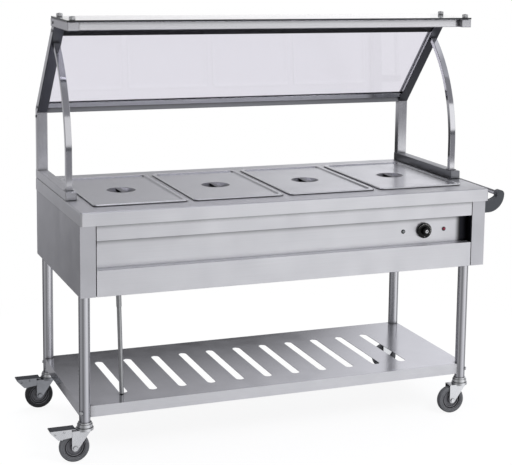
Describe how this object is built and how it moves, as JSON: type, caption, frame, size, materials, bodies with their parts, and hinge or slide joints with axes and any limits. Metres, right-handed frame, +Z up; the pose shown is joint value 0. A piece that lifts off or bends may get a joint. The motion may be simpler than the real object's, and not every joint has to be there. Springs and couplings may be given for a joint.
{
  "type": "heated buffet trolley",
  "caption": "Stainless heated buffet trolley on casters with lidded food pans, a slanted glass guard, a glass top shelf, a slotted lower shelf and a push handle.",
  "frame": {"origin": "on the floor, under the centre of the trolley's bounding box", "axes": "+X along the trolley's length towards the push handle, +Y from the control side to the rear, +Z up"},
  "size_m": [1.707, 0.713, 1.491],
  "materials": {
    "stainless": "brushed stainless sheet, satin grain",
    "stainless_tube": "ground stainless tube",
    "stainless_bright": "pressed stainless, bright satin",
    "chrome": "polished tube",
    "zinc": "zinc-plated pressed steel",
    "pipe": "dull plated pipe",
    "glass": "clear safety glass",
    "knob_plastic": "moulded, glossy",
    "gland_plastic": "moulded, matt",
    "thermostat_body": "moulded body",
    "lamp_grey": "unlit clear lens",
    "lamp_red": "unlit red lens",
    "bracket_grey": "grey powder-coated casting",
    "channel_black": "black-coated channel",
    "tyre_rubber": "grey thermoplastic rubber",
    "hub_plastic": "moulded grey hub",
    "element_metal": "dulled heating tube"
  },
  "bodies": {
    "cabinet": {"worktop": "stainless", "left_side_panel": "stainless", "right_side_panel": "stainless", "upper_front_strip": "stainless", "control_panel": "stainless", "lower_front_strip": "stainless", "rear_panel": "stainless", "floor_panel": "stainless", "water_tank": "stainless", "heating_elements": "element_metal", "thermostat": "thermostat_body", "grey_lamp": "lamp_grey", "red_lamp": "lamp_red", "terminal_box": "stainless", "cable_gland": "gland_plastic", "drain_fitting": "pipe", "drain_pipe": "pipe", "front_legs": "stainless_tube", "rear_legs": "stainless_tube", "leg_plates": "stainless", "lower_shelf": "stainless", "shelf_bolts": "zinc", "caster_heads": "zinc", "handle_brackets": "bracket_grey", "push_tube": "chrome", "base_rails": "stainless_tube", "rear_posts": "stainless_tube", "leaning_tubes": "stainless_tube", "guard_bows": "stainless_tube", "lower_cross_bar": "stainless_tube", "slanted_glass": "glass", "upper_glass_channel": "channel_black", "top_arms": "stainless_tube", "front_rail": "stainless_tube", "top_glass": "glass", "clamp_knobs": "zinc", "guard_bolts": "zinc"},
    "knob": {"control_knob": "knob_plastic"},
    "caster_front_left": {"fork_front_left": "zinc"},
    "wheel_front_left": {"tyre_front_left": "tyre_rubber", "hub_front_left": "hub_plastic"},
    "caster_rear_left": {"fork_rear_left": "zinc"},
    "wheel_rear_left": {"tyre_rear_left": "tyre_rubber", "hub_rear_left": "hub_plastic"},
    "caster_front_right": {"fork_front_right": "zinc"},
    "wheel_front_right": {"tyre_front_right": "tyre_rubber", "hub_front_right": "hub_plastic"},
    "caster_rear_right": {"fork_rear_right": "zinc"},
    "wheel_rear_right": {"tyre_rear_right": "tyre_rubber", "hub_rear_right": "hub_plastic"},
    "pedal_front_left": {"brake_front_left": "zinc"},
    "pedal_rear_left": {"brake_rear_left": "zinc"},
    "pan_body_1": {"pan_1": "stainless_bright"},
    "lid_body_1": {"lid_1": "stainless_bright"},
    "pan_body_2": {"pan_2": "stainless_bright"},
    "lid_body_2": {"lid_2": "stainless_bright"},
    "pan_body_3": {"pan_3": "stainless_bright"},
    "lid_body_3": {"lid_3": "stainless_bright"},
    "pan_body_4": {"pan_4": "stainless_bright"},
    "lid_body_4": {"lid_4": "stainless_bright"}
  },
  "joints": [
    {"name": "knob_turn", "type": "hinge", "parent": "cabinet", "child": "knob", "pos_m": [0.4995, -0.2985, 0.721], "axis": [0, 1, 0], "range_deg": [0, 270]},
    {"name": "swivel_front_left", "type": "hinge", "parent": "cabinet", "child": "caster_front_left", "pos_m": [-0.7315, -0.2495, 0.11], "axis": [0, 0, 1], "continuous": true},
    {"name": "roll_front_left", "type": "hinge", "parent": "caster_front_left", "child": "wheel_front_left", "pos_m": [-0.7685, -0.2495, 0.051], "axis": [0, 1, 0], "continuous": true},
    {"name": "swivel_rear_left", "type": "hinge", "parent": "cabinet", "child": "caster_rear_left", "pos_m": [-0.7315, 0.3275, 0.11], "axis": [0, 0, 1], "continuous": true},
    {"name": "roll_rear_left", "type": "hinge", "parent": "caster_rear_left", "child": "wheel_rear_left", "pos_m": [-0.7685, 0.3275, 0.051], "axis": [0, 1, 0], "continuous": true},
    {"name": "swivel_front_right", "type": "hinge", "parent": "cabinet", "child": "caster_front_right", "pos_m": [0.6985, -0.2495, 0.11], "axis": [0, 0, 1], "continuous": true},
    {"name": "roll_front_right", "type": "hinge", "parent": "caster_front_right", "child": "wheel_front_right", "pos_m": [0.6615, -0.2495, 0.051], "axis": [0, 1, 0], "continuous": true},
    {"name": "swivel_rear_right", "type": "hinge", "parent": "cabinet", "child": "caster_rear_right", "pos_m": [0.6985, 0.3275, 0.11], "axis": [0, 0, 1], "continuous": true},
    {"name": "roll_rear_right", "type": "hinge", "parent": "caster_rear_right", "child": "wheel_rear_right", "pos_m": [0.6615, 0.3275, 0.051], "axis": [0, 1, 0], "continuous": true},
    {"name": "pedal_front_left", "type": "hinge", "parent": "caster_front_left", "child": "pedal_front_left", "pos_m": [-0.7925, -0.2495, 0.104], "axis": [0, -1, 0], "range_deg": [0, 8]},
    {"name": "pedal_rear_left", "type": "hinge", "parent": "caster_rear_left", "child": "pedal_rear_left", "pos_m": [-0.7925, 0.3275, 0.104], "axis": [0, -1, 0], "range_deg": [0, 8]},
    {"name": "pan_lift_1", "type": "slide", "parent": "cabinet", "child": "pan_body_1", "axis": [0, 0, 1], "range_m": [0, 0.17]},
    {"name": "lid_lift_1", "type": "slide", "parent": "pan_body_1", "child": "lid_body_1", "axis": [0, 0, 1], "range_m": [0, 0.06]},
    {"name": "pan_lift_2", "type": "slide", "parent": "cabinet", "child": "pan_body_2", "axis": [0, 0, 1], "range_m": [0, 0.17]},
    {"name": "lid_lift_2", "type": "slide", "parent": "pan_body_2", "child": "lid_body_2", "axis": [0, 0, 1], "range_m": [0, 0.06]},
    {"name": "pan_lift_3", "type": "slide", "parent": "cabinet", "child": "pan_body_3", "axis": [0, 0, 1], "range_m": [0, 0.17]},
    {"name": "lid_lift_3", "type": "slide", "parent": "pan_body_3", "child": "lid_body_3", "axis": [0, 0, 1], "range_m": [0, 0.06]},
    {"name": "pan_lift_4", "type": "slide", "parent": "cabinet", "child": "pan_body_4", "axis": [0, 0, 1], "range_m": [0, 0.17]},
    {"name": "lid_lift_4", "type": "slide", "parent": "pan_body_4", "child": "lid_body_4", "axis": [0, 0, 1], "range_m": [0, 0.06]}
  ]
}
